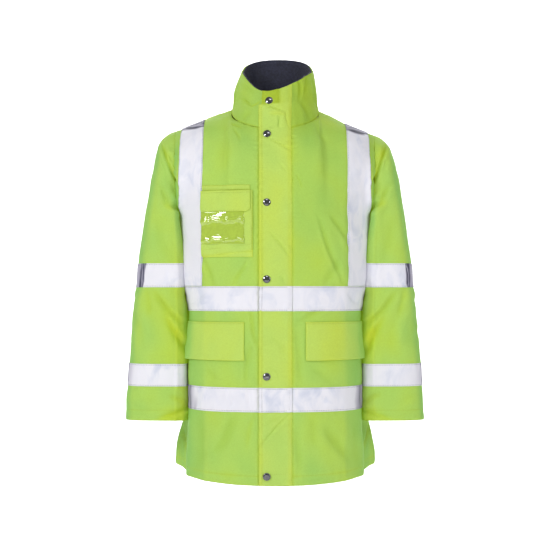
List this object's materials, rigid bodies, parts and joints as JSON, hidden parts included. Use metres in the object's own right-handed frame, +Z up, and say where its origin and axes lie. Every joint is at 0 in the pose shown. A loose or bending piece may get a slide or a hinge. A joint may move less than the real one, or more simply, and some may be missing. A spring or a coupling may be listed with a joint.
{
  "type": "high-visibility padded parka jacket",
  "caption": "Hip-length padded high-visibility parka jacket with stand collar, storm flap, snaps, reflective bands and pocket flaps, filled out as worn.",
  "frame": {"origin": "middle of the neck base, level with the tops of the shoulder seams", "axes": "+Z up, -Y towards the jacket's front, +X towards the wearer's left"},
  "size_m": [0.669, 0.3069, 0.9464],
  "materials": {
    "shell_fabric": "matt woven fluorescent yellow",
    "reflective_tape": "silver reflective, satin",
    "collar_lining": "matt dark navy",
    "snap_metal": "polished",
    "clear_window": "clear, glossy"
  },
  "bodies": {
    "root": {"back": "shell_fabric", "band_lower_back": "reflective_tape", "band_lower_front_left": "reflective_tape", "band_lower_front_right": "reflective_tape", "band_lower_sleeve_left": "reflective_tape", "band_lower_sleeve_right": "reflective_tape", "band_lower_storm_flap": "reflective_tape", "band_upper_back": "reflective_tape", "band_upper_front_left": "reflective_tape", "band_upper_front_right": "reflective_tape", "band_upper_sleeve_left": "reflective_tape", "band_upper_sleeve_right": "reflective_tape", "band_upper_storm_flap": "reflective_tape", "brace_left": "reflective_tape", "brace_right": "reflective_tape", "chest_pocket": "shell_fabric", "chest_pocket_flap": "shell_fabric", "chest_pocket_strip": "shell_fabric", "chest_pocket_window": "clear_window", "collar": "shell_fabric", "collar_lining": "collar_lining", "front_left": "shell_fabric", "front_right": "shell_fabric", "pocket_flap_left": "shell_fabric", "pocket_flap_right": "shell_fabric", "sleeve_left": "shell_fabric", "sleeve_right": "shell_fabric", "snap_chest": "snap_metal", "snap_collar": "snap_metal", "snap_hem": "snap_metal", "snap_hip": "snap_metal", "snap_neck": "snap_metal", "snap_waist": "snap_metal", "storm_flap": "shell_fabric"}
  },
  "joints": []
}
